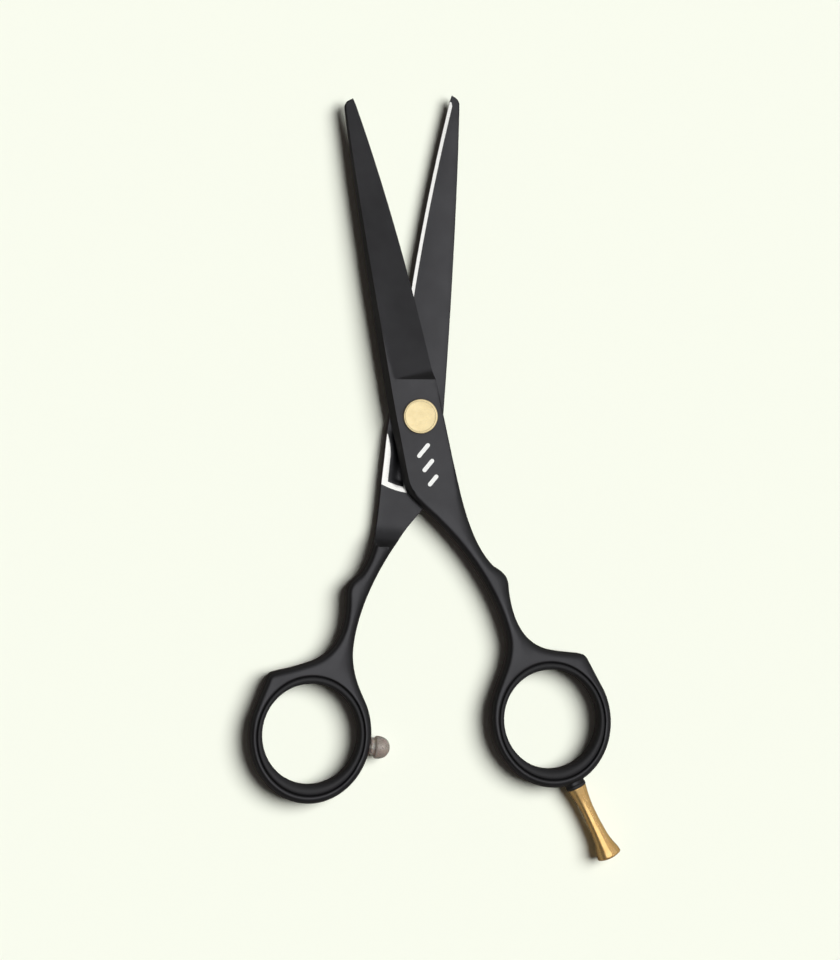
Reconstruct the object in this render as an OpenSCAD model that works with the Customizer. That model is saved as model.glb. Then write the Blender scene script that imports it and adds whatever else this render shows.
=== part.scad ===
// Hair cutting shears: two forged halves crossing at a tensioned pivot, with a finger rest and a bumper.
// The shears lie flat on Z = 0 with the tips towards +Y. The pivot axis is the Z axis.
// Each half is drawn in its own plan: pivot at the origin, tip on +Y, handle on the +X side, mid-plane
// of the shears at Z = 0. The finger half is that plan, and the thumb half is the same turned over.

/* [Pose] */
// Angle between the blades at rest (degrees)
open_angle = 18; // [10:1:40]

/* [Blades] */
// Pivot to tip
blade_reach = 68.5; // [60:0.1:75]
// Full thickness of the closed shears
stack_height = 5.5; // [5:0.1:7]
// Gap between the two inner faces
blade_gap = 0.1; // [0.05:0.01:0.2]
// Thickness of the spine at the tip
tip_thickness = 1.1; // [0.8:0.1:2]
// Height of the ground face over the inner face, at the cutting edge
edge_thickness = 0.35; // [0.2:0.05:0.8]
// Width of the bevel along the spine
spine_bevel = 0.9; // [0.4:0.1:1.4]

/* [Finger half] */
// Boss width on the spine side of the pivot
finger_spine_w = 6.0; // [5.2:0.1:6.5]
// Boss width on the handle side of the pivot
finger_handle_w = 5.0; // [4.8:0.1:6.5]
// Ring centre, measured sideways from the half's own axis
finger_ring_x = 14.5; // [14:0.1:17]
// Cutting edge at the tip, measured sideways from the half's own axis
finger_tip_x = 0.5; // [-0.5:0.1:1]

/* [Thumb half] */
// Boss width on the spine side of the pivot
thumb_spine_w = 5.4; // [5:0.1:6.5]
// Boss width on the handle side of the pivot
thumb_handle_w = 6.3; // [4.8:0.1:6.6]
// Ring centre, measured sideways from the half's own axis
thumb_ring_x = 16.0; // [14:0.1:17]
// Cutting edge at the tip, measured sideways from the half's own axis
thumb_tip_x = 0.1; // [-0.5:0.1:1]

/* [Rings] */
// Pivot to ring centre, along the half's own axis
ring_drop = 68.9; // [66:0.1:72]
// Half width of a ring
ring_a = 12.9; // [12:0.1:14]
// Half length of a ring
ring_b = 14.6; // [13:0.1:16]
// Half width of the finger hole through the insert
hole_a = 10.2; // [9:0.1:10.6]
// Half length of the finger hole through the insert
hole_b = 10.6; // [9:0.1:11.4]
// Half width of the insert's seat in the ring
seat_a = 11.4; // [10.8:0.1:11.8]
// Half length of the insert's seat in the ring
seat_b = 12.55; // [11.8:0.05:13.2]
// How much further from the pivot the seat's centre lies than the ring's
seat_drop = 0.35; // [0:0.05:0.6]
// How far an insert stops short of the ring's faces
insert_inset = 0.15; // [0.05:0.05:0.5]

/* [Pivot] */
// Radius of the pivot disc
disc_r = 3.65; // [3:0.05:4.2]
// Thickness of the pivot disc
disc_h = 0.9; // [0.6:0.1:1.4]
// Radius of the barrel under the disc
barrel_r = 2.0; // [1.8:0.1:2.2]
// Width across the barrel's two flats, which stop it turning in the finger half
barrel_flats = 3.4; // [3:0.1:3.6]
// Radial clearance between the barrel and the bush
running_fit = 0.03; // [0.02:0.01:0.08]
// Outer radius of the nylon bush
bush_r = 2.7; // [2.5:0.1:2.9]
// Radius of the tension screw's head
screw_head_r = 3.1; // [2.8:0.1:3.4]
// Radius of the tension screw's thread
screw_r = 1.25; // [1:0.05:1.5]
// Outer radius of the glide washer between the blades
glide_r = 4.3; // [3.6:0.1:4.6]

/* [Finger rest] */
// Length of the finger rest outside its washer
rest_length = 17.0; // [12:0.5:22]
// Largest radius of the finger rest
rest_r = 2.7; // [2.2:0.1:2.7]
// Smallest radius of the finger rest
rest_waist_r = 1.3; // [1.1:0.1:1.8]
// Place of the finger rest around the ring (degrees from straight down, outwards)
rest_place = 10.5; // [0:0.5:30]
// Direction in which the finger rest points (degrees from straight down, outwards)
rest_tilt = 14; // [5:1:30]

/* [Bumper] */
// Distance the bumper stands out of the thumb ring
bumper_length = 4.4; // [3:0.1:5]
// Largest radius of the bumper
bumper_r = 2.4; // [2:0.1:2.6]
// Place of the bumper below the ring's centre
bumper_drop = 1.5; // [0:0.5:4]

/* [Hidden] */
$fn = 64;
mid_z = stack_height / 2;
inner_z = blade_gap / 2;
outer_z = stack_height / 2;
plate = outer_z - inner_z;
eps = 0.01;
far = 200;

ring_y = -ring_drop;
step_y = 8.8;            // end of the ground face, beside the boss
step_turn = -12;         // the step runs at this angle across the blade
bevel_slope = 63;        // how steeply the bevel along the spine falls
spine_foot = [-3.8, 10]; // the ground face meets the spine bevel from here
spine_end = [-1.6, 66];  // to here, at the tip
edge_foot_x = 4.8;       // cutting edge, level with the start of the ground face
fan_end = -23;           // the flat inner face of the boss ends here
scoop_r = 6.5;           // radius of the scoop from the inner face down to the full handle
steps = 10;              // straight pieces in each curved stretch of the outline
ring_steps = 44;

// Heights of the pivot's stack, over the resting plane
washer_h = 0.12;
glide_h = 0.3;
bush_floor = 1.25;
spring_h = 0.3;
head_h = 0.9;
pin_hole_r = 0.45;
pin_hole_x = 1.9;
barrel_end = 1.35;
thread_top = 4.6;

// Finger rest, along its own axis from the ring's mid-band outwards
rest_pad_r = 2.1;
rest_pad_h = 0.5;
rest_washer_h = 0.7;
rest_thread_r = 1.25;
rest_thread_l = 1.8;

// Bumper, along its own axis from the ring's outer face outwards
stud_r = 0.8;
stud_depth = 1.0;
stud_head_r = 1.2;
neck_r = 1.7;
neck_l = 1.2;

// Outline helpers
function bez(a, b, c, d, n = steps) = [for (i = [0:n - 1]) let (t = i / n, s = 1 - t)
    s * s * s * a + 3 * s * s * t * b + 3 * s * t * t * c + t * t * t * d];
function on_ring(x, angle) = [x + ring_a * cos(angle), ring_y + ring_b * sin(angle)];
function ring_arc(x, from, to) = [for (i = [0:ring_steps - 1]) on_ring(x, from + (to - from) * i / ring_steps)];
function ellipse(x, y, a, b) = [for (i = [0:ring_steps - 1]) let (angle = 360 * i / ring_steps)
    [x + a * cos(angle), y + b * sin(angle)]];
function seat(x) = ellipse(x, ring_y - seat_drop, seat_a, seat_b);

// Plan of a half, from the tip down the cutting edge, round the ring and back up the spine
function half_plan(spine_w, handle_w, ring_x, tip_x) = concat(
    [[tip_x - 0.25, blade_reach]],
    bez([tip_x + 0.05, blade_reach - 1.4], [tip_x + 2.2, 52], [4.6, 30], [4.9, 6]),
    bez([4.9, 6], [handle_w, 2], [handle_w, -4], [handle_w, -10], 4),
    bez([handle_w, -10], [handle_w + 0.3, -20], [5.5, -29], [9.2, -34.4]),
    bez([9.2, -34.4], [10.9, -35.9], [11.8, -37.2], [11.4, -39.4], 6),
    bez([11.4, -39.4], [10.8, -44.5], [11.2, -51.5], [ring_x + 2.6, -54.2]),
    bez([ring_x + 2.6, -54.2], [ring_x + 5.6, -55.6], [ring_x + 8.2, -56.1], [ring_x + 9.4, -56.7], 5),
    bez([ring_x + 9.4, -56.7], [ring_x + 10, -57], [ring_x + 10.2, -57.4], [ring_x + 10.6, -58.4], 4),
    ring_arc(ring_x, 15, -215),
    bez(on_ring(ring_x, -215), [ring_x - 8.4, -56.9], [8.9, -53.5], [8.8, -49.5], 8),
    bez([8.8, -49.5], [8.6, -40], [3.8, -28.5], [-3, -19.6], 12),
    bez([-3, -19.6], [-4.8, -17.2], [-spine_w - 0.3, -15.5], [-spine_w - 0.2, -12.5], 6),
    bez([-spine_w - 0.2, -12.5], [-spine_w - 0.1, -8], [-spine_w, -4], [-spine_w, 0], 3),
    bez([-spine_w, 0], [-spine_w + 0.4, 16], [-3.8, 45], [-2, blade_reach - 2], 12),
    [[-2, blade_reach - 2], [-1.7, blade_reach - 1], [-1, blade_reach - 0.35]]
);

// Everything above the ground face of the blade, from the step to the tip
module above_ground_face() {
    across = -(plate - edge_thickness) / (edge_foot_x - spine_foot.x);
    along = (tip_thickness - plate - across * (spine_end.x - spine_foot.x)) / (spine_end.y - spine_foot.y);
    long = sqrt(1 + across * across + along * along);
    translate([spine_foot.x, spine_foot.y, outer_z])
        rotate([asin(along / long), atan(-across), 0])
            rotate(step_turn) translate([-20, step_y - spine_foot.y, 0]) cube([40, 80, 10]);
}

// Bevel along the spine, from the boss's corner to the tip
module spine_edge(spine_w) {
    lean = atan((spine_w - 2.4) / (blade_reach - 4));
    translate([-spine_w, 0, outer_z - spine_bevel * tan(bevel_slope)])
        rotate(-lean) rotate([0, -bevel_slope, 0]) translate([-10, -16, 0]) cube([20, 100, 10]);
}

// Space under the boss and the blade, ending in the round scoop
module under_inner_face() {
    translate([-far / 2, fan_end, inner_z - 10]) cube([far, far, 10]);
    translate([-far / 2, fan_end, inner_z - scoop_r]) rotate([0, 90, 0]) cylinder(r = scoop_r, h = far);
}

// One half, with the finger hole still to be lined
module half(spine_w, handle_w, ring_x, tip_x) {
    difference() {
        translate([0, 0, -outer_z]) linear_extrude(stack_height)
            polygon(half_plan(spine_w, handle_w, ring_x, tip_x));
        above_ground_face();
        spine_edge(spine_w);
        under_inner_face();
        translate([0, 0, -outer_z - 1]) linear_extrude(stack_height + 2)
            polygon(seat(ring_x));
    }
}

module ring_insert(ring_x) {
    color("dimgray") translate([0, 0, insert_inset - outer_z])
        linear_extrude(stack_height - 2 * insert_inset) difference() {
            polygon(seat(ring_x));
            polygon(ellipse(ring_x, ring_y, hole_a, hole_b));
        }
}

// Placing each half's own plan in the shears
module in_finger_half() { translate([0, 0, mid_z]) rotate(open_angle / 2) children(); }
module in_thumb_half() { translate([0, 0, mid_z]) rotate(-open_angle / 2) rotate([0, 180, 0]) children(); }

// The finger rest's axis: Z points out of the ring, with Z = 0 on the ring's outer face
module on_rest_axis() {
    translate([finger_ring_x + ring_a * sin(rest_place), ring_y - ring_b * cos(rest_place), 0])
        rotate([90, 0, rest_tilt]) children();
}

// The bumper's axis: Z points out of the ring, with Z = 0 on the ring's outer face
module on_bumper_axis() {
    translate([thumb_ring_x - ring_a * sqrt(1 - pow(bumper_drop / ring_b, 2)), ring_y - bumper_drop, 0])
        rotate([0, -90, 0]) children();
}

// Hole for the barrel and its two flats, through the finger half
module barrel_hole() {
    translate([0, 0, mid_z]) intersection() {
        cylinder(r = barrel_r, h = stack_height);
        translate([-barrel_r - 1, -barrel_flats / 2, 0]) cube([2 * barrel_r + 2, barrel_flats, stack_height]);
    }
}

module finger_half() {
    color("#26262a") difference() {
        in_finger_half() {
            difference() {
                union() {
                    half(finger_spine_w, finger_handle_w, finger_ring_x, finger_tip_x);
                    on_rest_axis() translate([0, 0, -1]) cylinder(r = rest_pad_r, h = 1 + rest_pad_h);
                }
                on_rest_axis() translate([0, 0, rest_pad_h - rest_thread_l])
                    cylinder(r = rest_thread_r, h = rest_thread_l + 1);
            }
        }
        rotate(open_angle / 2) barrel_hole();
    }
}

module thumb_half() {
    color("#303034") difference() {
        in_thumb_half() difference() {
            half(thumb_spine_w, thumb_handle_w, thumb_ring_x, thumb_tip_x);
            on_bumper_axis() translate([0, 0, -stud_depth]) cylinder(r = stud_r, h = stud_depth + 1);
        }
        translate([0, 0, -1]) cylinder(r = bush_r, h = stack_height);
        translate([0, 0, -1]) cylinder(r = screw_head_r + 0.1, h = 1 + bush_floor);
        translate([0, 0, mid_z + inner_z - glide_h]) cylinder(r = glide_r, h = 1);
    }
}

module finger_ring_insert() { in_finger_half() ring_insert(finger_ring_x); }
module thumb_ring_insert() { in_thumb_half() ring_insert(thumb_ring_x); }

module pivot_disc() {
    rim = 0.2;
    disc_z = stack_height + washer_h;
    color("#e0b860") difference() {
        union() {
            translate([0, 0, disc_z]) rotate_extrude()
                polygon([[0, 0], [disc_r - rim / 2, 0], [disc_r, rim / 2], [disc_r, disc_h - rim],
                         [disc_r - rim, disc_h], [0, disc_h]]);
            translate([0, 0, barrel_end]) cylinder(r = barrel_r, h = disc_z + eps - barrel_end);
        }
        rotate(open_angle / 2) for (turn = [0, 180]) rotate(turn)
            translate([-5, barrel_flats / 2, mid_z - inner_z]) cube([10, 5, disc_z - mid_z + inner_z]);
        translate([0, 0, barrel_end - 1]) cylinder(r = screw_r, h = thread_top + 0.2 - barrel_end + 1);
    }
}

module head_washer() {
    color("silver") translate([0, 0, stack_height]) difference() {
        cylinder(r = disc_r - 0.4, h = washer_h);
        translate([0, 0, -1]) cylinder(r = barrel_r + 0.05, h = 2);
    }
}

module glide_washer() {
    color("ivory") translate([0, 0, mid_z + inner_z - glide_h]) difference() {
        cylinder(r = glide_r - 0.1, h = glide_h);
        translate([0, 0, -1]) cylinder(r = bush_r + 0.05, h = 2);
    }
}

module pivot_bush() {
    color("white") translate([0, 0, bush_floor]) difference() {
        cylinder(r = bush_r, h = mid_z + inner_z - glide_h - bush_floor);
        translate([0, 0, -1]) cylinder(r = barrel_r + running_fit, h = stack_height);
    }
}

// A wave washer at its working height: a dished ring between the screw's head and the thumb half
module spring_washer() {
    low = bush_floor - spring_h;
    color("lightsteelblue") rotate_extrude()
        polygon([[screw_r + 0.25, low], [screw_r + 0.65, low], [screw_head_r - 0.15, bush_floor - 0.12],
                 [screw_head_r - 0.15, bush_floor], [screw_head_r - 0.5, bush_floor],
                 [screw_r + 0.25, low + 0.15]]);
}

module tension_screw() {
    color("#c9a04e") difference() {
        union() {
            cylinder(r = screw_head_r, h = head_h);
            cylinder(r = screw_r, h = thread_top);
        }
        for (side = [-1, 1]) translate([side * pin_hole_x, 0, -1]) cylinder(r = pin_hole_r, h = 1.6);
    }
}

module finger_rest() {
    start = rest_pad_h + rest_washer_h;
    l = rest_length;
    color("#e0b860") in_finger_half() on_rest_axis() rotate_extrude() polygon(concat(
        [[0, rest_pad_h - rest_thread_l], [rest_thread_r, rest_pad_h - rest_thread_l],
         [rest_thread_r, start], [2.05, start]],
        bez([2.15, start + 0.3], [rest_waist_r, start + 0.18 * l], [rest_waist_r - 0.2, start + 0.42 * l],
            [1.7, start + 0.7 * l], 12),
        bez([1.7, start + 0.7 * l], [1.9, start + 0.78 * l], [2.3, start + 0.87 * l],
            [rest_r, start + 0.94 * l], 6),
        bez([rest_r, start + 0.94 * l], [rest_r, start + 0.97 * l], [1.7, start + l], [0, start + l], 7),
        [[0, start + l]]));
}

module rest_washer() {
    color("#202020") in_finger_half() on_rest_axis() translate([0, 0, rest_pad_h]) difference() {
        cylinder(r = 2.2, h = rest_washer_h);
        translate([0, 0, -1]) cylinder(r = rest_thread_r, h = 3);
    }
}

module bumper_stud() {
    color("silver") in_thumb_half() on_bumper_axis() {
        translate([0, 0, -stud_depth]) cylinder(r = stud_r, h = stud_depth + neck_l + 0.8);
        translate([0, 0, neck_l + 0.2]) cylinder(r = stud_head_r, h = 0.6);
    }
}

module bumper() {
    l = bumper_length;
    base = 0.15;
    color("#b0aca8") in_thumb_half() on_bumper_axis() difference() {
        rotate_extrude() polygon(concat(
            [[0, base], [neck_r, base], [neck_r, neck_l]],
            bez([neck_r, neck_l], [bumper_r, neck_l], [bumper_r, neck_l + 0.4], [bumper_r, neck_l + 0.8], 4),
            bez([bumper_r, neck_l + 0.8], [bumper_r, l - 0.5], [bumper_r - 0.6, l], [0.8, l], 6),
            [[0.8, l], [0, l]]));
        translate([0, 0, -1]) cylinder(r = stud_r, h = 1 + neck_l + 0.8);
        translate([0, 0, neck_l + 0.2]) cylinder(r = stud_head_r, h = 0.6);
    }
}

finger_half();
thumb_half();
pivot_disc();
head_washer();
glide_washer();
pivot_bush();
spring_washer();
tension_screw();
finger_ring_insert();
thumb_ring_insert();
finger_rest();
rest_washer();
bumper();
bumper_stud();
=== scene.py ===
"""Hair cutting shears: the looks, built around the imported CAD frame.

Lengths are in millimetres here, and MM turns them into the scene's metres. Each half is drawn in its own
plan, as in the CAD: pivot at the origin, tip on +Y, ring on the +X side, mid-plane of the shears at Z = 0.
"""

import math

import bmesh
import bpy
from mathutils import Matrix, Vector
from mathutils.geometry import delaunay_2d_cdt
from mathutils.kdtree import KDTree


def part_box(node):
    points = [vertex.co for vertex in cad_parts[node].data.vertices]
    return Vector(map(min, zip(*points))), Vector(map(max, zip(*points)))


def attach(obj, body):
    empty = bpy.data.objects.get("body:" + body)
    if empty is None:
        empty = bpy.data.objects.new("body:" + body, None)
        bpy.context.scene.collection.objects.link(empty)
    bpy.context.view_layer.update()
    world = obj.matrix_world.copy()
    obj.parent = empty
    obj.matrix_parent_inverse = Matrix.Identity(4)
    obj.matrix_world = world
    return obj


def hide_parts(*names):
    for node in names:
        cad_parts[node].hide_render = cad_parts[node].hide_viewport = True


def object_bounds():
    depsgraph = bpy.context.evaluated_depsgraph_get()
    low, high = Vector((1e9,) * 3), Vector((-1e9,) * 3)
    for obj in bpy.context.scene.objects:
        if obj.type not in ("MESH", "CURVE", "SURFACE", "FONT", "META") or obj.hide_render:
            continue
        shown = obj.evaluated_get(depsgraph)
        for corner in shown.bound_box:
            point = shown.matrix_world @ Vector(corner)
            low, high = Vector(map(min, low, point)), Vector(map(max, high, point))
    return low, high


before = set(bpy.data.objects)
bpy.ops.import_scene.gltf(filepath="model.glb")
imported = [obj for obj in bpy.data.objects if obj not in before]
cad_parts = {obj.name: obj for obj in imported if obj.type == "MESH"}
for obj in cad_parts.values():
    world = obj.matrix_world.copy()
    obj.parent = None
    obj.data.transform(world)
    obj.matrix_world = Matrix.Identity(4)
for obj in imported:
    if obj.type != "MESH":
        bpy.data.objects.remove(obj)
cad_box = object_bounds()
MM = 0.001

# Sizes that the finer shapes follow, the same as in the CAD
OPEN_ANGLE = 18.0
BLADE_REACH = 68.5
OUTER_Z = 2.75              # outer face of a half
INNER_Z = 0.05              # its inner face
MID_Z = 2.75                # mid-plane, over the resting plane
TIP_THICKNESS = 1.1
EDGE_THICKNESS = 0.35
SPINE_FOOT = (-3.8, 10.0)   # the ground face meets the spine bevel from here
SPINE_END = (-1.6, 66.0)    # to here, at the tip
EDGE_FOOT_X = 4.8           # cutting edge, level with the start of the ground face
STEP_Y = 8.8                # step from the boss down to the ground face
STEP_TURN = math.radians(12)
STEP_SLOPE = 1.25
FAN_END = -23.0             # end of the flat inner face
SCOOP_R = 6.5
RING_Y = -68.9
RING_A, RING_B = 12.9, 14.6
HOLE_A, HOLE_B = 10.2, 10.6
SEAT_A, SEAT_B, SEAT_DROP = 11.4, 12.55, 0.35
FINGER = {"spine": 6.0, "handle": 5.0, "ring_x": 14.5, "tip_x": 0.5}
THUMB = {"spine": 5.4, "handle": 6.3, "ring_x": 16.0, "tip_x": 0.1}

# Round edges, and the flat bevel along the spine as (width, drop) at the tip and beside the boss
HANDLE_EDGE = 1.35
HANDLE_DROP = 1.5
CRISP_EDGE = 0.14
BEVEL_AT_TIP = (0.3, 0.45)
BEVEL_AT_BOSS = (1.05, 2.1)
BEVEL_LENGTH = 62.0
EDGE_SIDE_X = -1.0          # the blade's outline lies on the cutting edge's side past here
CROWN_HEIGHT = 0.42
CROWN_WIDTH = 4.2


# ---------------------------------------------------------------- outline of a half
def mix(first, second, share):
    """The value at a share of the way from the first to the second."""
    return first + (second - first) * share


def bezier(a, b, c, d, n):
    """n points of a curve from a towards d, without d itself."""
    points = []
    for i in range(n):
        t = i / n
        s = 1 - t
        points.append(tuple(s ** 3 * a[k] + 3 * s * s * t * b[k] + 3 * s * t * t * c[k] + t ** 3 * d[k]
                            for k in (0, 1)))
    return points


def on_ring(x, degrees):
    """A point of the outer oval of the ring whose middle is at x."""
    turn = math.radians(degrees)
    return (x + RING_A * math.cos(turn), RING_Y + RING_B * math.sin(turn))


def ring_arc(x, start, end, n):
    return [on_ring(x, mix(start, end, i / n)) for i in range(n)]


def hole_loop(ring_x, share, n=150):
    """An oval between the finger hole (share 0) and the insert's seat (share 1), metal on its right."""
    a = mix(HOLE_A, SEAT_A, share)
    b = mix(HOLE_B, SEAT_B, share)
    centre_y = RING_Y - SEAT_DROP * share
    turns = [2 * math.pi * i / n for i in range(n)]
    return [(ring_x + a * math.cos(turn), centre_y + b * math.sin(turn)) for turn in turns]


def half_outline(side):
    """Plan of a half from the tip down the cutting edge, round the ring and up the spine, clockwise."""
    spine, handle = side["spine"], side["handle"]
    x, tip = side["ring_x"], side["tip_x"]
    reach = BLADE_REACH
    # Cutting edge, boss, shank, its notch, neck, corner, ring, neck, shank, boss, spine
    points = [(tip - 0.25, reach)]
    points += bezier((tip + 0.05, reach - 1.4), (tip + 2.2, 52), (4.6, 30), (4.9, 6), 60)
    points += bezier((4.9, 6), (handle, 2), (handle, -4), (handle, -10), 22)
    points += bezier((handle, -10), (handle + 0.3, -20), (5.5, -29), (9.2, -34.4), 46)
    points += bezier((9.2, -34.4), (10.9, -35.9), (11.8, -37.2), (11.4, -39.4), 16)
    points += bezier((11.4, -39.4), (10.8, -44.5), (11.2, -51.5), (x + 2.6, -54.2), 34)
    points += bezier((x + 2.6, -54.2), (x + 5.6, -55.6), (x + 8.2, -56.1), (x + 9.4, -56.7), 16)
    points += bezier((x + 9.4, -56.7), (x + 10, -57), (x + 10.2, -57.4), (x + 10.6, -58.4), 6)
    points += ring_arc(x, 15, -215, 150)
    points += bezier(on_ring(x, -215), (x - 8.4, -56.9), (8.9, -53.5), (8.8, -49.5), 22)
    points += bezier((8.8, -49.5), (8.6, -40), (3.8, -28.5), (-3, -19.6), 60)
    points += bezier((-3, -19.6), (-4.8, -17.2), (-spine - 0.3, -15.5), (-spine - 0.2, -12.5), 16)
    points += bezier((-spine - 0.2, -12.5), (-spine - 0.1, -8), (-spine, -4), (-spine, 0), 16)
    points += bezier((-spine, 0), (-spine + 0.4, 16), (-3.8, 45), (-2, reach - 2), 70)
    round_end = ((-2, 2), (-1.93, 1.5), (-1.7, 1), (-1.4, 0.65), (-1, 0.35))
    return points + [(x, reach - y) for x, y in round_end]


def ramp(x, low, high):
    """0 below low, 1 above high, and a smooth rise between them."""
    t = min(1.0, max(0.0, (x - low) / (high - low)))
    return t * t * (3 - 2 * t)


def inward(loop):
    """Unit normals of a closed loop, pointing to the right of its travel, where the metal is."""
    normals = []
    for i in range(len(loop)):
        (x0, y0), (x1, y1) = loop[i - 1], loop[(i + 1) % len(loop)]
        size = math.hypot(x1 - x0, y1 - y0)
        normals.append(((y1 - y0) / size, (x0 - x1) / size))
    return normals


# ---------------------------------------------------------------- edges: (width, drop, roundness) by place
def outer_edge(x, y):
    """How the outer face meets the outline: sharp cutting edge, flat spine bevel, round handle."""
    handle = ramp(-y, 9, 21)
    if x > EDGE_SIDE_X:
        boss = 0.3 * ramp(-y, -7, -2)
        width = mix(boss, HANDLE_EDGE, handle)
        return width, width, 1.0
    along = ramp(BLADE_REACH - y, 0, BEVEL_LENGTH)
    width = mix(BEVEL_AT_TIP[0], BEVEL_AT_BOSS[0], along)
    drop = mix(BEVEL_AT_TIP[1], BEVEL_AT_BOSS[1], along)
    return mix(width, HANDLE_EDGE, handle), mix(drop, HANDLE_DROP, handle), handle


def inner_edge(x, y):
    """How the inner face meets the outline: crisp beside the blade and the fan, round on the handle."""
    handle = ramp(-y, 24.5, 27.5)
    crisp = 0.0 if y > 4 and x > EDGE_SIDE_X else CRISP_EDGE
    width = mix(crisp, HANDLE_EDGE, handle)
    return width, width, 1.0


def seat_edge(x, y):
    """How both faces meet the seat of the insert."""
    return 0.55, 0.5, 1.0


def bore_edge(x, y):
    """The pivot's bore keeps its corners sharp, under the washers."""
    return 0.0, 0.0, 1.0


def edge_drop(distance, width, drop, roundness):
    """Height lost at a distance from the outline."""
    if width < 0.01 or distance >= width:
        return 0.0
    flat = 1 - distance / width
    quarter_circle = 1 - math.sqrt(1 - flat ** 2)
    return drop * mix(flat, quarter_circle, roundness)


def crown(distance, hole_distance):
    """The gentle dome of the handle, from its edges to its middle line. It fades out towards the ring."""
    return CROWN_HEIGHT * (1 - min(1.0, distance / CROWN_WIDTH)) ** 2 * ramp(hole_distance, 0.0, 5.0)


# ---------------------------------------------------------------- heights of the two faces
PLATE = OUTER_Z - INNER_Z
SLOPE_ACROSS = (EDGE_THICKNESS - PLATE) / (EDGE_FOOT_X - SPINE_FOOT[0])
SLOPE_ALONG = ((TIP_THICKNESS - PLATE - SLOPE_ACROSS * (SPINE_END[0] - SPINE_FOOT[0]))
               / (SPINE_END[1] - SPINE_FOOT[1]))
# The scoop has come down to the handle's own inner face here
SCOOP_FOOT = FAN_END - math.sqrt(SCOOP_R ** 2 - (SCOOP_R - OUTER_Z - INNER_Z) ** 2)


def ground_plane(x, y):
    """Height of the blade's ground face, thinner towards the edge and the tip."""
    return OUTER_Z + SLOPE_ACROSS * (x - SPINE_FOOT[0]) + SLOPE_ALONG * (y - SPINE_FOOT[1])


def past_step(x, y):
    """Distance from the step's line towards the tip."""
    along = (x - SPINE_FOOT[0]) * math.sin(STEP_TURN) + (y - SPINE_FOOT[1]) * math.cos(STEP_TURN)
    return along + SPINE_FOOT[1] - STEP_Y


def outer_surface(x, y):
    """The outer face without its edges: boss, the hollow step, and the ground face of the blade."""
    s = past_step(x, y)
    if s <= 0:
        return OUTER_Z
    ground = ground_plane(x, y)
    depth = OUTER_Z - ground
    if depth <= 0:
        return OUTER_Z
    cliff = OUTER_Z - STEP_SLOPE * s
    # The step runs into the ground face in a hollow curve, not in a corner
    soft = min(0.7, 0.4 * depth)
    return min(OUTER_Z, 0.5 * (ground + cliff + math.sqrt((ground - cliff) ** 2 + soft * soft)))


def scoop_surface(y):
    """The flat of the blade, boss and fan, and the round scoop that ends it."""
    if y >= FAN_END:
        return INNER_Z
    return INNER_Z - SCOOP_R + math.sqrt(max(0.0, SCOOP_R ** 2 - (FAN_END - y) ** 2))


# ---------------------------------------------------------------- plan of the half as one triangle mesh
CELL = 0.2                  # grid points keep about this far from the points already there


def middle(corners, triangle):
    """The middle of a triangle, as (x, y)."""
    return tuple(sum(corners[i][k] for i in triangle) / 3 for k in (0, 1))


class Border:
    """A closed loop of the plan, with the edge finish at each of its points."""

    def __init__(self, loop, finish):
        self.loop = loop
        self.normals = inward(loop)
        self.finish = [finish(x, y) for x, y in loop]
        self.tree = KDTree(len(loop))
        for i, (x, y) in enumerate(loop):
            self.tree.insert((x, y, 0), i)
        self.tree.balance()

    def nearest(self, x, y):
        """(signed distance into the metal, finish) at a point."""
        _, near, _ = self.tree.find((x, y, 0))
        best = None
        for i in (near - 1, near):
            j = (i + 1) % len(self.loop)
            (ax, ay), (bx, by) = self.loop[i], self.loop[j]
            dx, dy = bx - ax, by - ay
            t = min(1.0, max(0.0, ((x - ax) * dx + (y - ay) * dy) / (dx * dx + dy * dy)))
            gap = math.hypot(x - ax - t * dx, y - ay - t * dy)
            if best is None or gap < best[0]:
                inside = (x - ax) * dy - (y - ay) * dx
                mixed = [mix(a, b, t) for a, b in zip(self.finish[i], self.finish[j])]
                best = (gap, gap if inside >= 0 else -gap, mixed)
        return best[1], best[2]

    def parallel(self, share):
        """The loop moved into the metal by a share of each point's edge width."""
        moved = []
        for (x, y), (nx, ny), (width, _, _) in zip(self.loop, self.normals, self.finish):
            moved.append((x + nx * width * share, y + ny * width * share, width * share))
        return moved


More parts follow.
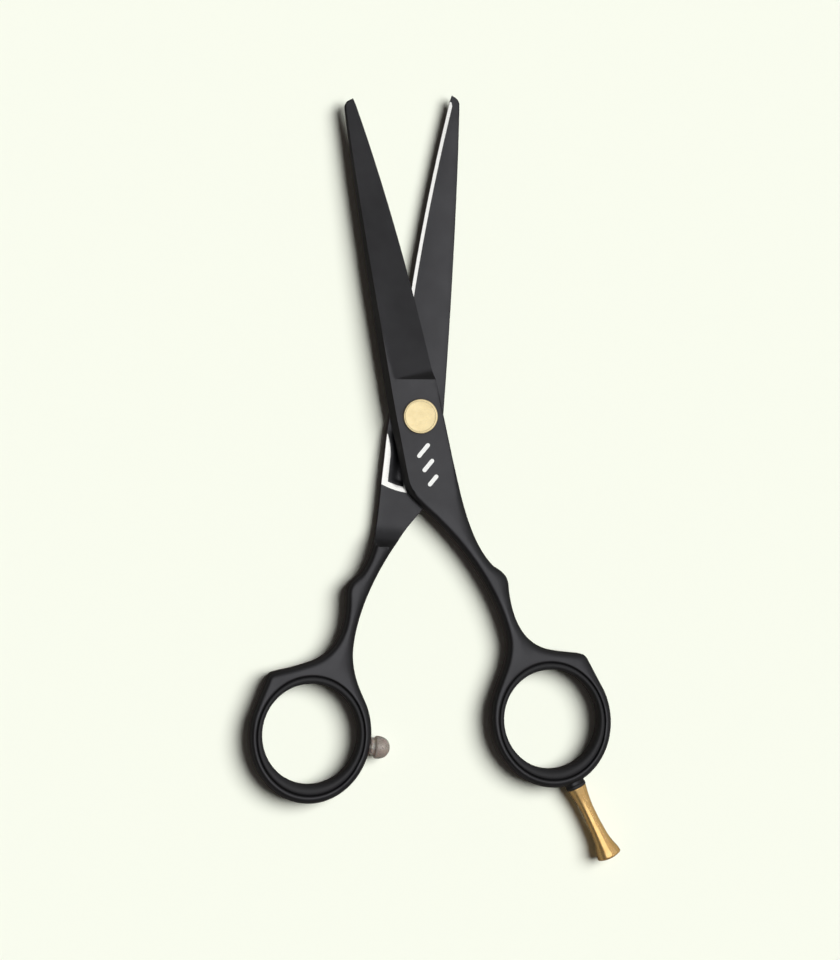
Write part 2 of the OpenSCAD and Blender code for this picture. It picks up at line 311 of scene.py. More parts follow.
class Plan:
    """Collects the points and lines that one face's triangles have to follow.

    The borders are the half's outline, the seat of its insert and the pivot's bore."""

    def __init__(self, borders, side):
        self.borders = borders
        self.outline, self.seat = borders[:2]
        self.side = side
        self.points = []
        self.lines = []
        self.cells = set()
        self.spans = []
        for border in borders:
            first, size = len(self.points), len(border.loop)
            self.points += border.loop
            self.lines += [(first + i, first + (i + 1) % size) for i in range(size)]
            self.spans.append((first, size))

    def depth(self, x, y):
        """Distance from the nearest border into the metal."""
        return min(border.nearest(x, y)[0] for border in self.borders)

    def add(self, x, y):
        self.points.append((x, y))
        self.cells.add((round(x / CELL), round(y / CELL)))
        return len(self.points) - 1

    def crowded(self, x, y):
        """Whether a point has been added in this cell or the ones round it."""
        i, j = round(x / CELL), round(y / CELL)
        return any((i + a, j + b) in self.cells for a in (-1, 0, 1) for b in (-1, 0, 1))

    def add_edges(self, shares):
        """Rows of points along every edge, close together where the edge turns down."""
        for border in self.borders:
            for share in shares:
                row = []
                for x, y, moved in border.parallel(share):
                    own = border.nearest(x, y)[0]
                    others = min(b.nearest(x, y)[0] for b in self.borders if b is not border)
                    clear = moved > 0.02 and own > 0.93 * moved and others > max(0.1, 0.35 * moved)
                    row.append(self.add(x, y) if clear else None)
                if share == 1.0:
                    self.lines += [(a, b) for a, b in zip(row, row[1:] + row[:1]) if None not in (a, b)]

    def add_line(self, points):
        """A line for the triangles to follow, broken where it leaves the metal."""
        last = None
        for x, y in points:
            if self.depth(x, y) < 0.04:
                last = None
                continue
            index = self.add(x, y)
            if last is not None:
                self.lines.append((last, index))
            last = index

    def add_grid(self, box, pitch, keep=None):
        """Points in staggered rows over a box, where keep allows them and no others are near."""
        x0, y0, x1, y1 = box
        rows = int((y1 - y0) / (pitch * 0.87)) + 1
        for row in range(rows):
            y = y0 + row * pitch * 0.87
            shift = pitch / 2 if row % 2 else 0.0
            for column in range(int((x1 - x0) / pitch) + 1):
                x = x0 + shift + column * pitch
                if keep is not None and not keep(x, y):
                    continue
                if self.crowded(x, y) or self.depth(x, y) < 0.2:
                    continue
                self.add(x, y)

    def triangles(self):
        """(corner points, triangles, which corner each of the plan's own points became)."""
        points = [Vector(p) for p in self.points]
        found, _, triangles, sources, _, _ = delaunay_2d_cdt(points, self.lines, [], 1, 1e-5)
        corners = [(v.x, v.y) for v in found]
        corner_of = {source: i for i, merged in enumerate(sources) for source in merged}
        return corners, [t for t in triangles if self.depth(*middle(corners, t)) > 0], corner_of


def circle_loop(radius, n=96):
    """A circle about the origin, anticlockwise."""
    turns = [2 * math.pi * i / n for i in range(n)]
    return [(radius * math.cos(turn), radius * math.sin(turn)) for turn in turns]


# ---------------------------------------------------------------- the half-moon and the ride line
MOON_R = 16.3
MOON_INNER_R = 15.2
MOON_TOP = -3.0             # the band reaches up to here beside the boss
MOON_LEFT = -4.2            # and its arc to here, towards the spine
RIDE_WIDTH = 0.7
RIDE_START = 5.0
RIDE_END = BLADE_REACH - 0.5
RELIEF_DEPTH = 0.6


def relief_edge(y):
    """The x where the coated relief meets the bare band: straight at first, then bowing out to the boss."""
    return 5.0 + 1.35 * (max(0.0, y + 9.3) / 5.6) ** 2


def relief_depth(x, y):
    """The shallow hollow between the half-moon and the pivot washer."""
    reach = math.hypot(x, y)
    across = ramp(relief_edge(y) - x, 0.0, 2.2) * ramp(MOON_INNER_R - reach, 0.0, 1.2)
    return RELIEF_DEPTH * across * ramp(reach, 5.0, 7.0) * ramp(-y, 2.0, 5.0)


def moon_arc(radius, x0, x1, n=28):
    """Points of an arc about the pivot, on the handle's side of it."""
    arc_x = [mix(x0, x1, i / n) for i in range(n + 1)]
    return [(x, -math.sqrt(radius ** 2 - x * x)) for x in arc_x]


def ride_width(y):
    """Width of the bare ride line, which tapers to nothing short of the tip."""
    return RIDE_WIDTH * ramp(RIDE_END - y, 0.0, 1.8)


def is_bare(x, y, from_edge):
    """Bare steel on the inner face: the ride line by the cutting edge and the half-moon round the boss."""
    if y > RIDE_START:
        return x > EDGE_SIDE_X and from_edge < ride_width(y)
    if y > MOON_TOP or x < MOON_LEFT:
        return False
    reach = math.hypot(x, y)
    if reach > MOON_R:
        return False
    return reach > MOON_INNER_R or x > relief_edge(y)


# ---------------------------------------------------------------- building a half
EDGE_SHARES = [1 - math.cos(math.radians(angle)) for angle in (15, 30, 45, 60, 75)] + [1.0]
HOLLOW_DEPTH = 0.15
WEAR_WIDTH = 0.12
BARE = 1                    # material slot of the bare steel, after the coating's


def outer_height(plan, x, y):
    """Height of the outer face with its edges."""
    gap, finish = plan.outline.nearest(x, y)
    seat_gap, seat_finish = plan.seat.nearest(x, y)
    gap, seat_gap = max(0.0, gap), max(0.0, seat_gap)
    z = outer_surface(x, y) - crown(gap, seat_gap) * ramp(-y, 14, 30)
    return z - edge_drop(gap, *finish) - edge_drop(seat_gap, *seat_finish)


def hollow_grind(side, x, y):
    """Depth of the shallow hollow between the ride line and the spine, most of it near the boss."""
    back = 1 - y / BLADE_REACH
    edge_x = mix(side["tip_x"], 4.9, 1 - (1 - back) ** 1.9) - RIDE_WIDTH
    spine_x = -mix(2, side["spine"], back ** 0.8)
    across = min(1.0, max(0.0, (edge_x - x) / (edge_x - spine_x)))
    return 4 * HOLLOW_DEPTH * across * (1 - across) * ramp(y, 7, 14) * mix(0.35, 1.0, back)


def inner_height(plan, x, y):
    """Height of the inner face with its edges: flat to the fan's end, and the handle's own face beyond it."""
    gap, finish = plan.outline.nearest(x, y)
    seat_gap, seat_finish = plan.seat.nearest(x, y)
    gap, seat_gap = max(0.0, gap), max(0.0, seat_gap)
    flat = scoop_surface(y) + relief_depth(x, y)
    flat += edge_drop(gap, CRISP_EDGE, CRISP_EDGE, 1.0) * ramp(finish[0], 0.0, 0.1)
    if y > 6:
        flat += hollow_grind(plan.side, x, y) * ramp(gap, RIDE_WIDTH - 0.1, RIDE_WIDTH + 0.6)
    if y >= FAN_END:
        return flat
    handle = -OUTER_Z + crown(gap, seat_gap) + edge_drop(gap, *finish) + edge_drop(seat_gap, *seat_finish)
    return max(flat, handle)


def outer_plan(borders, side):
    """The outer face's plan, with the step and the brow as lines and a fine grid on the step."""
    plan = Plan(borders, side)
    plan.add_edges(EDGE_SHARES)
    # The step's line
    step_back = SPINE_FOOT[1] - STEP_Y
    start_x = SPINE_FOOT[0] - step_back * math.sin(STEP_TURN)
    start_y = SPINE_FOOT[1] - step_back * math.cos(STEP_TURN)
    plan.add_line([(start_x + t * math.cos(STEP_TURN), start_y - t * math.sin(STEP_TURN))
                   for t in (0.3 * i for i in range(31))])
    # The brow, where the ground face comes up to the boss's level
    brow = [(SPINE_FOOT[0] - SLOPE_ALONG / SLOPE_ACROSS * (y - SPINE_FOOT[1]), y)
            for y in (start_y + 0.3 + 0.6 * i for i in range(60))]
    plan.add_line([p for p in brow if plan.outline.nearest(*p)[0] > 0.6])
    plan.add_grid((-6, 5, 6, 13), 0.24, lambda x, y: 0.0 < past_step(x, y) < 3.0)
    plan.add_grid((-8, 5, 6, BLADE_REACH), 1.1)
    plan.add_grid((-8, -90, 40, 5), 0.55)
    return plan


def inner_plan(borders, side):
    """The inner face's plan, with the borders of its bare steel and a fine grid on the scoop's foot."""
    plan = Plan(borders, side)
    plan.add_edges(EDGE_SHARES)
    # The ride line's inner border and its end beside the boss
    ride = []
    for (x, y), (nx, ny) in zip(plan.outline.loop, plan.outline.normals):
        if x > EDGE_SIDE_X and y > RIDE_START:
            ride.append((x + nx * ride_width(y), y + ny * ride_width(y)))
    plan.add_line([p for p in ride if RIDE_START < p[1] < RIDE_END])
    plan.add_line([(x, RIDE_START) for x in (4.9, 4.3, 3.7)])
    # The half-moon's two arcs and its border with the relief
    plan.add_line(moon_arc(MOON_R, MOON_LEFT, 6.6))
    plan.add_line(moon_arc(MOON_INNER_R, MOON_LEFT, 5.0))
    plan.add_line([(relief_edge(y), y) for y in (-14.35 + 0.4 * i for i in range(33))])
    plan.add_grid((-8, SCOOP_FOOT - 1.0, 16, SCOOP_FOOT + 2.2), 0.2)
    plan.add_grid((-8, 5, 6, BLADE_REACH), 1.0)
    plan.add_grid((-8, -20, 8, 5), 0.45)
    plan.add_grid((-8, -90, 40, -20), 0.5)
    return plan


def wear(depth):
    """Wear of the coating by distance from an edge: strongest just inside it, and none on the walls."""
    return math.exp(-depth / WEAR_WIDTH) if depth > 0.001 else 0.0


def add_loop(mesh, loop, z):
    """Vertices along a loop, all at one height."""
    return [mesh.verts.new((x * MM, y * MM, z * MM)) for x, y in loop]


def add_band(mesh, first, second):
    """Joins two loops of vertices with faces, and returns the faces."""
    faces = []
    for i in range(len(first)):
        j = (i + 1) % len(first)
        faces.append(mesh.faces.new([first[i], first[j], second[j], second[i]]))
    return faces


def add_sheet(mesh, plan, height):
    """Adds a face of a half to the mesh. Returns its triangles with their middles, and its borders."""
    rim = mesh.verts.layers.float["rim"]
    corners, triangles, corner_of = plan.triangles()
    verts = []
    for x, y in corners:
        vert = mesh.verts.new((x * MM, y * MM, height(plan, x, y) * MM))
        vert[rim] = wear(plan.depth(x, y))
        verts.append(vert)
    faces = []
    for triangle in triangles:
        face = mesh.faces.new([verts[i] for i in triangle])
        faces.append((face, middle(corners, triangle)))
    return faces, [[verts[corner_of[first + i]] for i in range(size)] for first, size in plan.spans]


def build_half(name, side, bore):
    """One half. Its bore is given as (radius, height) from the outer face to the inner one."""
    seat = Border(hole_loop(side["ring_x"], 1.0), seat_edge)
    outer = outer_plan([Border(half_outline(side), outer_edge), seat,
                        Border(circle_loop(bore[0][0]), bore_edge)], side)
    inner = inner_plan([Border(half_outline(side), inner_edge), seat,
                        Border(circle_loop(bore[-1][0]), bore_edge)], side)
    mesh = bmesh.new()
    mesh.verts.layers.float.new("rim")
    _, outer_loops = add_sheet(mesh, outer, outer_height)
    inner_faces, inner_loops = add_sheet(mesh, inner, inner_height)
    for face, (x, y) in inner_faces:
        if is_bare(x, y, inner.outline.nearest(x, y)[0]):
            face.material_index = BARE

    edge_wall = add_band(mesh, outer_loops[0], inner_loops[0])
    for face, (x, y) in zip(edge_wall, outer.outline.loop):
        if x > EDGE_SIDE_X and RIDE_START < y < RIDE_END:
            face.material_index = BARE
    add_band(mesh, outer_loops[1], inner_loops[1])
    steps = [add_loop(mesh, circle_loop(radius), z) for radius, z in bore[1:-1]]
    bore_loops = [outer_loops[2]] + steps + [inner_loops[2]]
    for upper, lower in zip(bore_loops, bore_loops[1:]):
        add_band(mesh, upper, lower)
    bmesh.ops.remove_doubles(mesh, verts=mesh.verts, dist=1e-7)
    bmesh.ops.recalc_face_normals(mesh, faces=mesh.faces)
    return finish_mesh(name, mesh, sharp_angle=28)


def finish_mesh(name, mesh, sharp_angle):
    """A smooth-shaded object from a bmesh, with its corners over the angle kept crisp."""
    for face in mesh.faces:
        face.smooth = True
    for edge in mesh.edges:
        if len(edge.link_faces) == 2 and edge.calc_face_angle(0.0) > math.radians(sharp_angle):
            edge.smooth = False
    data = bpy.data.meshes.new(name)
    mesh.to_mesh(data)
    mesh.free()
    piece = bpy.data.objects.new(name, data)
    bpy.context.scene.collection.objects.link(piece)
    return piece


def lathe(name, profile, segments, sharp_angle=30):
    """A solid of revolution about Z, from (radius, height) points running from the bottom axis to the top."""
    mesh = bmesh.new()
    rings = []
    for radius, z in profile:
        loop = circle_loop(radius, segments) if radius > 1e-6 else [(0, 0)]
        rings.append(add_loop(mesh, loop, z))
    for low, high in zip(rings, rings[1:]):
        for i in range(segments):
            j = (i + 1) % segments
            corners = [low[i % len(low)], low[j % len(low)], high[j % len(high)], high[i % len(high)]]
            unique = list(dict.fromkeys(corners))
            if len(unique) > 2:
                mesh.faces.new(unique)
    bmesh.ops.recalc_face_normals(mesh, faces=mesh.faces)
    return finish_mesh(name, mesh, sharp_angle)


def arc(cx, cz, radius, start, end, n):
    """Profile points round a corner."""
    turns = [math.radians(mix(start, end, i / n)) for i in range(n + 1)]
    return [(cx + radius * math.cos(turn), cz + radius * math.sin(turn)) for turn in turns]


# ---------------------------------------------------------------- the small parts
def ring_insert(name, side):
    """Rubber lining of a finger hole: a rounded lip on each side and a soft, slightly hollow inner wall.

    Its section is given as (share of the way out from the hole to the seat, height)."""
    lip = [(1.0, 1.95), (0.98, 2.15), (0.9, 2.4), (0.78, 2.54), (0.62, 2.6), (0.44, 2.55), (0.25, 2.35),
           (0.1, 2.0), (0.02, 1.6), (0.0, 1.0), (0.02, 0.0)]
    profile = lip + [(share, -z) for share, z in reversed(lip[:-1])]
    mesh = bmesh.new()
    rings = [add_loop(mesh, hole_loop(side["ring_x"], share, 200), z) for share, z in profile]
    for low, high in zip(rings, rings[1:] + rings[:1]):
        add_band(mesh, low, high)
    bmesh.ops.recalc_face_normals(mesh, faces=mesh.faces)
    return finish_mesh(name, mesh, sharp_angle=60)


def pivot_disc(radius, low, high):
    """The disc's flat head, with a fine turned groove just inside its rim."""
    under_edge, upper_edge = 0.12, 0.16
    groove = ((0.3, 0.004), (0.36, 0.03), (0.44, 0.03), (0.5, 0.004), (0.56, 0.0))
    profile = [(0, low), (radius - 0.5, low), (radius - 0.1, low)]
    profile += arc(radius - under_edge, low + under_edge, under_edge, -90, 0, 4)
    profile += arc(radius - upper_edge, high - upper_edge, upper_edge, 0, 90, 6)
    profile += [(radius - inset, high - depth) for inset, depth in groove]
    profile += [(1.6, high), (0, high)]
    return lathe("pivot_disc_face", profile, segments=160)


def finger_rest(start, length, radius, waist):
    """A turned rest: seat, long waist, wide flare and a shallow dome, with Z pointing out of the ring."""
    def up(share):
        return start + share * length

    narrowest, neck = (waist, up(0.3)), (1.72, up(0.72))
    profile = [(0, start - 1.0), (1.2, start - 1.0), (1.2, start)]
    profile += arc(1.93, start + 0.12, 0.12, -90, 0, 4)
    profile += bezier((2.05, start + 0.14), (1.98, start + 0.5), (waist + 0.1, up(0.16)), narrowest, 16)
    profile += bezier(narrowest, (waist - 0.02, up(0.44)), (1.5, up(0.62)), neck, 16)
    profile += bezier(neck, (1.95, up(0.8)), (radius - 0.25, up(0.87)), (radius - 0.02, up(0.925)), 12)
    profile += arc(radius - 0.35, up(0.95), 0.35, 0, 70, 6)
    profile += bezier((radius - 0.23, up(0.97)), (radius - 0.7, up(0.985)), (1.0, up(1)), (0, up(1)), 12)
    profile += [(0, up(1))]
    return lathe("finger_rest_turned", profile, segments=96, sharp_angle=40)


def rest_collar(start, height):
    """The dark washer under the finger rest."""
    bore, middle_r, edge = 1.26, 2.05, 0.12
    profile = [(bore, start)]
    profile += arc(middle_r, start + edge, edge, -90, 0, 4)
    profile += arc(middle_r, start + height - edge, edge, 0, 90, 4)
    profile += [(bore, start + height), (bore, start)]
    return lathe("rest_collar", profile, segments=72)


def rest_seat(height):
    """The raised seat of the finger rest on the ring, with a round edge."""
    radius, edge = 2.1, 0.15
    profile = [(0, -0.9), (radius, -0.9), (radius, height - edge)]
    profile += arc(radius - edge, height - edge, edge, 0, 90, 5) + [(0, height)]
    return lathe("rest_seat", profile, segments=72)


def bumper(length, radius, neck):
    """A soft stop like a mushroom, hollow where the stud goes in, with Z pointing out of the ring."""
    profile = [(0, 2.05), (1.22, 2.05), (1.22, 1.38), (0.82, 1.38), (0.82, 0.2), (neck - 0.2, 0.15)]
    profile += arc(neck - 0.15, 0.3, 0.15, -90, 0, 4)
    profile += bezier((neck, 0.45), (neck - 0.08, 0.75), (neck - 0.05, 1.0), (neck + 0.05, 1.12), 8)
    profile += bezier((neck + 0.05, 1.12), (radius - 0.05, 1.2), (radius, 1.4), (radius, 1.75), 8)
    profile += bezier((radius, 1.75), (radius, 3.3), (radius - 0.9, length), (0, length), 24)
    profile += [(0, length)]
    return lathe("bumper_rubber", profile, segments=72, sharp_angle=50)


def generic_mark(first_x, first_y):
    """Three short slanted bars with round ends, each a little shorter, printed on the boss."""
    slant = math.radians(38)
    along = Vector((math.cos(slant), math.sin(slant)))
    across = Vector((-along.y, along.x))
    half_length, half_width = 1.9, 0.45
    step_x, step_y, shorter = 0.35, -3.3, 0.2
    mesh = bmesh.new()
    for row in range(3):
        centre = Vector((first_x + step_x * row, first_y + step_y * row))
        straight = half_length - shorter * row - half_width
        corners = []
        for degrees in range(0, 360, 15):
            bend = math.radians(degrees)
            end = straight if math.cos(bend) >= 0 else -straight
            corners.append(centre + along * (end + half_width * math.cos(bend))
                           + across * half_width * math.sin(bend))
        low = add_loop(mesh, corners, OUTER_Z - 0.01)
        high = add_loop(mesh, corners, OUTER_Z + 0.012)
        mesh.faces.new(high)
        add_band(mesh, low, high)
    bmesh.ops.recalc_face_normals(mesh, faces=mesh.faces)
    return finish_mesh("printed_mark", mesh, sharp_angle=30)


# ---------------------------------------------------------------- materials
def new_material(name, **sockets):
    """A Principled material with its sockets set by name; returns (material, nodes, links, shader)."""
    material = bpy.data.materials.new(name)
    material.use_nodes = True
    nodes, links = material.node_tree.nodes, material.node_tree.links
    shader = nodes["Principled BSDF"]
    for label, value in sockets.items():
        shader.inputs[label.replace("_", " ")].default_value = value
    return material, nodes, links, shader


def own_place(nodes, links, stretch=(1, 1, 1)):
    """The piece's own coordinates in millimetres."""
    coordinates = nodes.new("ShaderNodeTexCoord")
    mapping = nodes.new("ShaderNodeMapping")
    mapping.inputs["Scale"].default_value = [factor / MM for factor in stretch]
    links.new(coordinates.outputs["Object"], mapping.inputs["Vector"])
    return mapping.outputs["Vector"]


def noise(nodes, links, scale, detail, stretch=(1, 1, 1)):
    """Noise in the piece's own coordinates; scale is in bumps per millimetre."""
    texture = nodes.new("ShaderNodeTexNoise")
    texture.inputs["Scale"].default_value = scale
    texture.inputs["Detail"].default_value = detail
    links.new(own_place(nodes, links, stretch), texture.inputs["Vector"])
    return texture.outputs["Fac"]


def remap(nodes, links, source, low, high, from_low=0.3, from_high=0.7):
    """A value between low and high; the defaults suit noise, which seldom leaves 0.3 to 0.7."""
    node = nodes.new("ShaderNodeMapRange")
    node.inputs["From Min"].default_value = from_low
    node.inputs["From Max"].default_value = from_high
    node.inputs["To Min"].default_value = low
    node.inputs["To Max"].default_value = high
    links.new(source, node.inputs["Value"])
    return node.outputs["Result"]


def blend_colours(nodes, links, factor, first, second):
    """A colour between two, each given as a tuple or as another node's output."""
    node = nodes.new("ShaderNodeMix")
    node.data_type = "RGBA"
    for socket, value in (("A", first), ("B", second)):
        target = [i for i in node.inputs if i.name == socket and i.type == "RGBA"][0]
        if hasattr(value, "links"):
            links.new(value, target)
        else:
            target.default_value = (*value, 1)
    links.new(factor, node.inputs["Factor"])
    return [o for o in node.outputs if o.type == "RGBA"][0]


def add_bump(nodes, links, shader, height, strength, distance):
    """Makes a height texture show as relief; distance is in millimetres."""
    bump = nodes.new("ShaderNodeBump")
    bump.inputs["Strength"].default_value = strength
    bump.inputs["Distance"].default_value = distance * MM
    links.new(height, bump.inputs["Height"])
    links.new(bump.outputs["Normal"], shader.inputs["Normal"])


COAT_DARK = (0.055, 0.055, 0.058)
COAT_LIGHT = (0.068, 0.068, 0.072)
COAT_WORN = (0.19, 0.185, 0.18)
STEEL_DARK = (0.86, 0.86, 0.82)
STEEL_LIGHT = (0.99, 0.99, 0.96)


def coated_steel():
    """Satin black coating: fine blasted grain, slow unevenness, and a little wear along the edges."""
    material, nodes, links, shader = new_material("satin_black_coating", Metallic=0.9)
    slow = noise(nodes, links, scale=0.12, detail=2)
    grain = noise(nodes, links, scale=9.0, detail=2)
    patches = noise(nodes, links, scale=1.1, detail=4)
    base = blend_colours(nodes, links, remap(nodes, links, slow, 0, 1), COAT_DARK, COAT_LIGHT)
    rim = nodes.new("ShaderNodeAttribute")
    rim.attribute_name = "rim"
    worn = nodes.new("ShaderNodeMath")
    worn.operation = "MULTIPLY"
    links.new(remap(nodes, links, rim.outputs["Fac"], 0, 0.35, 0.55, 1.0), worn.inputs[0])
    links.new(remap(nodes, links, patches, 0, 1, 0.46, 0.62), worn.inputs[1])
    colour = blend_colours(nodes, links, worn.outputs[0], base, COAT_WORN)
    links.new(colour, shader.inputs["Base Color"])
    links.new(remap(nodes, links, grain, 0.3, 0.4), shader.inputs["Roughness"])
    add_bump(nodes, links, shader, grain, strength=0.12, distance=0.02)
    return material


def bare_steel():
    """Ground stainless steel with fine lines across the edge."""
    material, nodes, links, shader = new_material("ground_bare_steel", Metallic=1.0)
    lines = noise(nodes, links, scale=5.0, detail=4, stretch=(0.08, 1.6, 1))
    colour = blend_colours(nodes, links, remap(nodes, links, lines, 0, 1), STEEL_DARK, STEEL_LIGHT)
    links.new(colour, shader.inputs["Base Color"])
    links.new(remap(nodes, links, lines, 0.24, 0.38), shader.inputs["Roughness"])
    add_bump(nodes, links, shader, lines, strength=0.15, distance=0.01)
    return material


def gold_plate(name, turned, roughness, metallic, dark, light):
    """Plated metal. turned adds the fine rings left by a lathe."""
    material, nodes, links, shader = new_material(name, Metallic=metallic)
    cloud = noise(nodes, links, scale=0.8, detail=3)
    colour = blend_colours(nodes, links, remap(nodes, links, cloud, 0, 1), dark, light)
    links.new(colour, shader.inputs["Base Color"])
    if turned:
        rings = nodes.new("ShaderNodeTexWave")
        rings.wave_type = "RINGS"
        rings.rings_direction = "Z"
        rings.inputs["Scale"].default_value = 2.6
        rings.inputs["Distortion"].default_value = 1.2
        links.new(own_place(nodes, links), rings.inputs["Vector"])
        height = rings.outputs["Fac"]
    else:
        height = noise(nodes, links, scale=0.7, detail=1, stretch=(1, 1, 0.3))
    links.new(remap(nodes, links, height, roughness - 0.05, roughness + 0.06), shader.inputs["Roughness"])
    add_bump(nodes, links, shader, height, strength=0.08, distance=0.008)
    return material


def fine_grained(name, dark, light, roughness, **sockets):
    """Rubber, nylon or print: two close colours in a fine grain."""
    material, nodes, links, shader = new_material(name, **sockets)
    grain = noise(nodes, links, scale=3.5, detail=3)
    colour = blend_colours(nodes, links, remap(nodes, links, grain, 0, 1), dark, light)
    links.new(colour, shader.inputs["Base Color"])
    links.new(remap(nodes, links, grain, roughness - 0.05, roughness + 0.08), shader.inputs["Roughness"])
    add_bump(nodes, links, shader, grain, strength=0.15, distance=0.02)
    return material


coat = coated_steel()
steel = bare_steel()
gold_turned = gold_plate("turned_gold_plate", turned=True, roughness=0.3, metallic=1.0,
                         dark=(0.86, 0.71, 0.40), light=(0.94, 0.79, 0.46))
gold_polished = gold_plate("polished_gold_plate", turned=False, roughness=0.2, metallic=0.78,
                           dark=(0.98, 0.60, 0.22), light=(1.0, 0.67, 0.28))
black_rubber = fine_grained("black_rubber", (0.009, 0.009, 0.010), (0.015, 0.015, 0.016), roughness=0.5)
clear_rubber = fine_grained("clear_silicone", (0.37, 0.325, 0.29), (0.50, 0.44, 0.395), roughness=0.3,
                            Transmission_Weight=0.55, IOR=1.42, Subsurface_Weight=0.25,
                            Subsurface_Scale=1.5 * MM)
nylon = fine_grained("natural_nylon", (0.78, 0.77, 0.72), (0.86, 0.85, 0.80), roughness=0.4)
white_print = fine_grained("white_print", (0.80, 0.81, 0.79), (0.90, 0.91, 0.88), roughness=0.5)


# ---------------------------------------------------------------- placing the pieces
def place(piece, matrix, body, stands_for, slot, *materials):
    """Puts a piece in the frame on its body, standing for CAD nodes, with its materials."""
    piece.data.transform(matrix)
    for material in materials:
        piece.data.materials.append(material)
    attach(piece, body)
    if stands_for:
        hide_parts(*stands_for)


def turn(degrees, axis):
    return Matrix.Rotation(math.radians(degrees), 4, axis)


def shift(x, y, z):
    return Matrix.Translation((x * MM, y * MM, z * MM))


IN_FINGER = shift(0, 0, MID_Z) @ turn(OPEN_ANGLE / 2, "Z")
IN_THUMB = shift(0, 0, MID_Z) @ turn(-OPEN_ANGLE / 2, "Z") @ turn(180, "Y")
REST_PLACE = math.radians(10.5)
REST_TILT = 14
REST_PAD_H = 0.5
REST_WASHER_H = 0.7
ON_REST = (IN_FINGER @ shift(FINGER["ring_x"] + RING_A * math.sin(REST_PLACE),
                             RING_Y - RING_B * math.cos(REST_PLACE), 0)
           @ turn(REST_TILT, "Z") @ turn(90, "X"))
BUMPER_DROP = 1.5
ON_BUMPER = (IN_THUMB @ shift(THUMB["ring_x"] - RING_A * math.sqrt(1 - (BUMPER_DROP / RING_B) ** 2),
                              RING_Y - BUMPER_DROP, 0) @ turn(-90, "Y"))

# Each bore as (radius, height). The thumb half's holds the screw's head, the bush and the glide washer.
WASHER_SEAT = MID_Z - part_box("glide_washer")[0].z / MM
FINGER_BORE = [(2.0, OUTER_Z), (2.0, INNER_Z)]
THUMB_BORE = [(3.2, OUTER_Z), (3.2, 1.5), (2.7, 1.5), (2.7, WASHER_SEAT), (4.3, WASHER_SEAT), (4.3, INNER_Z)]
place(build_half("finger_half_forged", FINGER, FINGER_BORE), IN_FINGER, "finger_side", ["finger_half"],
      "coated_steel", coat, steel)
place(build_half("thumb_half_forged", THUMB, THUMB_BORE), IN_THUMB, "thumb_side", ["thumb_half"],
      "coated_steel", coat, steel)
place(ring_insert("finger_ring_lining", FINGER), IN_FINGER, "finger_side", ["finger_ring_insert"],
      "black_rubber", black_rubber)
place(ring_insert("thumb_ring_lining", THUMB), IN_THUMB, "thumb_side", ["thumb_ring_insert"],
      "black_rubber", black_rubber)
disc_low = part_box("head_washer")[1].z / MM
disc_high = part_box("pivot_disc")[1].z / MM
place(pivot_disc(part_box("pivot_disc")[1].x / MM, disc_low, disc_high), Matrix.Identity(4), "finger_side",
      ["pivot_disc"], "gold_plate", gold_turned)
place(finger_rest(start=REST_PAD_H + REST_WASHER_H, length=16.97, radius=2.62, waist=1.42), ON_REST,
      "finger_rest", ["finger_rest"], "gold_plate", gold_polished)
place(rest_collar(REST_PAD_H, REST_WASHER_H), ON_REST, "finger_side", ["rest_washer"],
      "black_rubber", black_rubber)
place(rest_seat(REST_PAD_H), ON_REST, "finger_side", [], "coated_steel", coat)
place(bumper(length=4.4, radius=2.4, neck=2.0), ON_BUMPER, "thumb_side", ["bumper"],
      "clear_rubber", clear_rubber)
place(generic_mark(-0.8, -7.2), IN_FINGER, "finger_side", [], "coated_steel", white_print)

# The pieces shown as the CAD has them only get their material
for node, material in (("head_washer", steel), ("glide_washer", nylon), ("pivot_bush", nylon),
                       ("spring_washer", steel), ("tension_screw", gold_turned), ("bumper_stud", steel)):
    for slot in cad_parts[node].material_slots:
        slot.material = material


# ---------------------------------------------------------------- floor, light and camera
FLOOR_COLOUR = (0.90, 0.93, 0.82, 1)
FLOOR_GAP = 0.1
AIR_HIGH = (0.034, 0.028, 0.028)
AIR_LOW = (0.24, 0.235, 0.21)
AIR_UNDER = (0.06, 0.05, 0.045)


def pale_floor():
    """Matt floor under the shears. Their sheen doesn't show it, so that the coating stays black."""
    mesh = bmesh.new()
    bmesh.ops.create_circle(mesh, cap_ends=True, radius=8.0, segments=96)
    floor = finish_mesh("studio_floor", mesh, sharp_angle=30)
    material = new_material("pale_floor", Base_Color=FLOOR_COLOUR, Roughness=0.9, Specular_IOR_Level=0.0)[0]
    floor.data.materials.append(material)
    floor.location.z = cad_box[0][2] - FLOOR_GAP * MM
    floor.visible_glossy = False


def lean_right(degrees):
    """Unit direction leaning to the right, and a little away from the viewer, from straight up."""
    lean = math.radians(degrees)
    return Vector((math.sin(lean), 0.3 * math.sin(lean), math.cos(lean))).normalized()


def key_light(degrees, spread, strength):
    """Soft sun for the matt surfaces and the shadows."""
    data = bpy.data.lights.new("key_from_right", "SUN")
    data.angle = math.radians(spread)
    data.energy = strength
    light = bpy.data.objects.new("key_from_right", data)
    bpy.context.scene.collection.objects.link(light)
    light.rotation_euler = lean_right(degrees).to_track_quat("Z", "Y").to_euler()
    light.visible_glossy = False


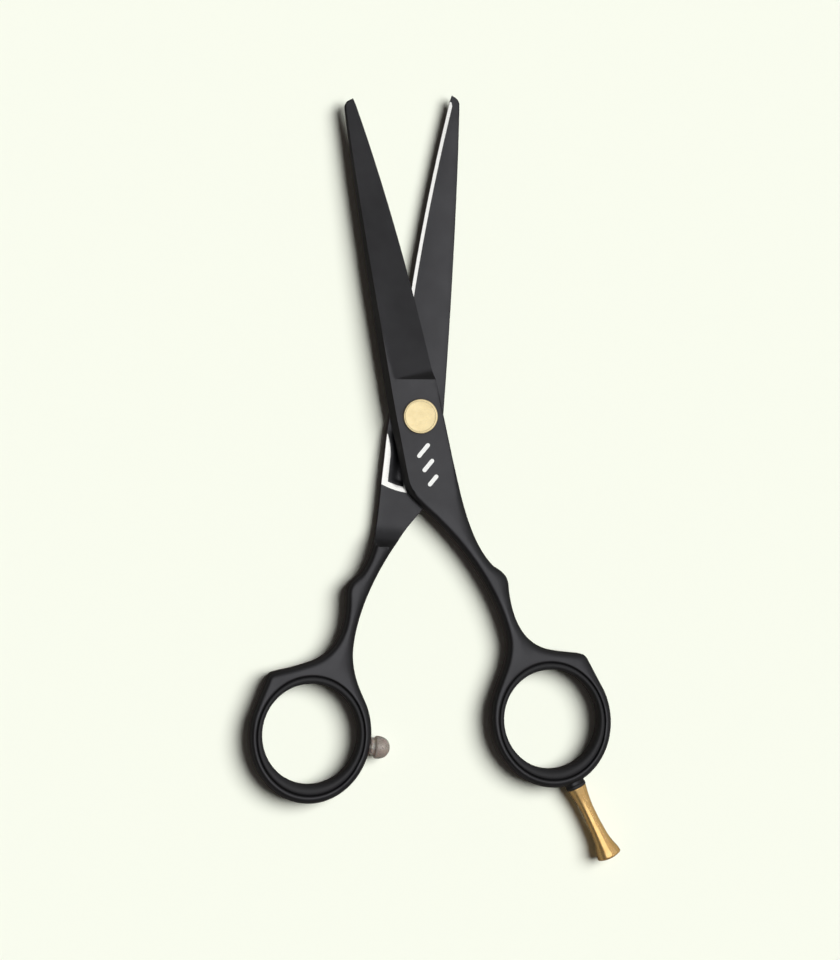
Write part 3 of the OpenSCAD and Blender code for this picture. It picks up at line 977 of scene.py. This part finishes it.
def softbox(name, degrees, distance, size, power):
    """Round light that shows only in the sheen."""
    data = bpy.data.lights.new(name, "AREA")
    data.shape = "DISK"
    data.size = size
    data.energy = power
    light = bpy.data.objects.new(name, data)
    bpy.context.scene.collection.objects.link(light)
    light.location = lean_right(degrees) * distance
    light.rotation_euler = lean_right(degrees).to_track_quat("Z", "Y").to_euler()
    light.visible_diffuse = False


def studio_world():
    """Dim air, palest at the horizon. What shines up from under it stands for the floor beside the shears."""
    world = bpy.data.worlds.new("studio_air")
    world.use_nodes = True
    nodes, links = world.node_tree.nodes, world.node_tree.links
    direction = nodes.new("ShaderNodeTexCoord")
    split = nodes.new("ShaderNodeSeparateXYZ")
    links.new(direction.outputs["Generated"], split.inputs[0])
    overhead = remap(nodes, links, split.outputs["Z"], 0, 1, 0.05, 0.25)
    above = blend_colours(nodes, links, overhead, AIR_LOW, AIR_HIGH)
    underneath = remap(nodes, links, split.outputs["Z"], 1, 0, -0.8, -0.2)
    colour = blend_colours(nodes, links, underneath, above, AIR_UNDER)
    links.new(colour, nodes["Background"].inputs["Color"])
    bpy.context.scene.world = world


def photo_camera(lens, roll_degrees, tilt_degrees, eye):
    """The camera over the shears, tilted off straight down and rolled; eye is in millimetres."""
    roll, tilt = math.radians(roll_degrees), math.radians(tilt_degrees)
    view = Vector((math.sin(tilt) * math.cos(roll), -math.sin(tilt) * math.sin(roll), -math.cos(tilt)))
    right = Vector((math.cos(tilt) * math.cos(roll), -math.cos(tilt) * math.sin(roll), math.sin(tilt)))
    data = bpy.data.cameras.new("photo_camera")
    data.lens = lens
    data.clip_start = 0.01
    camera = bpy.data.objects.new("photo_camera", data)
    bpy.context.scene.collection.objects.link(camera)
    axes = Matrix((right, right.cross(view), -view)).transposed().to_4x4()
    camera.matrix_world = Matrix.Translation(Vector(eye) * MM) @ axes
    bpy.context.scene.camera = camera


pale_floor()
studio_world()
key_light(degrees=32.5, spread=42, strength=3.85)
softbox("bright_softbox", degrees=-10, distance=1.0, size=1.1, power=2.7)
softbox("wide_softbox", degrees=15, distance=0.8, size=2.78, power=6.5)
photo_camera(lens=115.8, roll_degrees=3.0, tilt_degrees=9.5, eye=(-108.05, -7.78, 647.6))
bpy.context.scene.view_settings.view_transform = "Standard"
